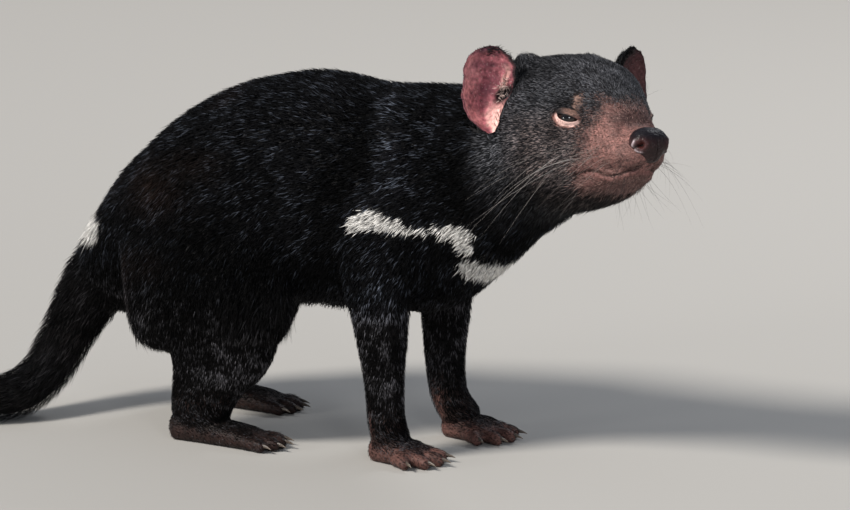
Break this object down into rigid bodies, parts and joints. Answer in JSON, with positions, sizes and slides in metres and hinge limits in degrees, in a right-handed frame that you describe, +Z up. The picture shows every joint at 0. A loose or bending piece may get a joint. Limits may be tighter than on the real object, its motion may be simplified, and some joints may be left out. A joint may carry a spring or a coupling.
{
  "type": "tasmanian devil figure",
  "caption": "Life-size still model of an adult Tasmanian devil standing on all fours, head raised and turned to its right, tail drooping to the floor.",
  "frame": {"origin": "middle of the bounding box at floor level, under the belly", "axes": "+X forward towards the nose, +Y to the animal's left, +Z up"},
  "size_m": [0.6074, 0.1994, 0.3027],
  "materials": {
    "black_coat": "short dense glossy black fur, with white at the chest, shoulder and rump",
    "nose_skin": "damp bare skin",
    "ear_skin": "thin pink skin, sparsely haired",
    "eye_surface": "wet and glossy",
    "claw_horn": "worn horn"
  },
  "bodies": {
    "root": {"trunk": "black_coat", "neck": "black_coat", "head": "black_coat", "lower_jaw": "black_coat", "tail_root": "black_coat", "tail_middle": "black_coat", "tail_end": "black_coat", "foreleg_upper_left": "black_coat", "foreleg_upper_right": "black_coat", "foreleg_lower_left": "black_coat", "foreleg_lower_right": "black_coat", "forefoot_left": "black_coat", "forefoot_right": "black_coat", "hindleg_upper_left": "black_coat", "hindleg_upper_right": "black_coat", "hindleg_lower_left": "black_coat", "hindleg_lower_right": "black_coat", "hindfoot_left": "black_coat", "hindfoot_right": "black_coat", "nose": "nose_skin", "ear_left": "ear_skin", "ear_right": "ear_skin", "eye_left": "eye_surface", "eye_right": "eye_surface", "claw_fore_left_one": "claw_horn", "claw_fore_left_two": "claw_horn", "claw_fore_left_three": "claw_horn", "claw_fore_left_four": "claw_horn", "claw_fore_left_five": "claw_horn", "claw_fore_right_one": "claw_horn", "claw_fore_right_two": "claw_horn", "claw_fore_right_three": "claw_horn", "claw_fore_right_four": "claw_horn", "claw_fore_right_five": "claw_horn", "claw_hind_left_two": "claw_horn", "claw_hind_left_three": "claw_horn", "claw_hind_left_four": "claw_horn", "claw_hind_left_five": "claw_horn", "claw_hind_right_two": "claw_horn", "claw_hind_right_three": "claw_horn", "claw_hind_right_four": "claw_horn", "claw_hind_right_five": "claw_horn"}
  },
  "joints": []
}
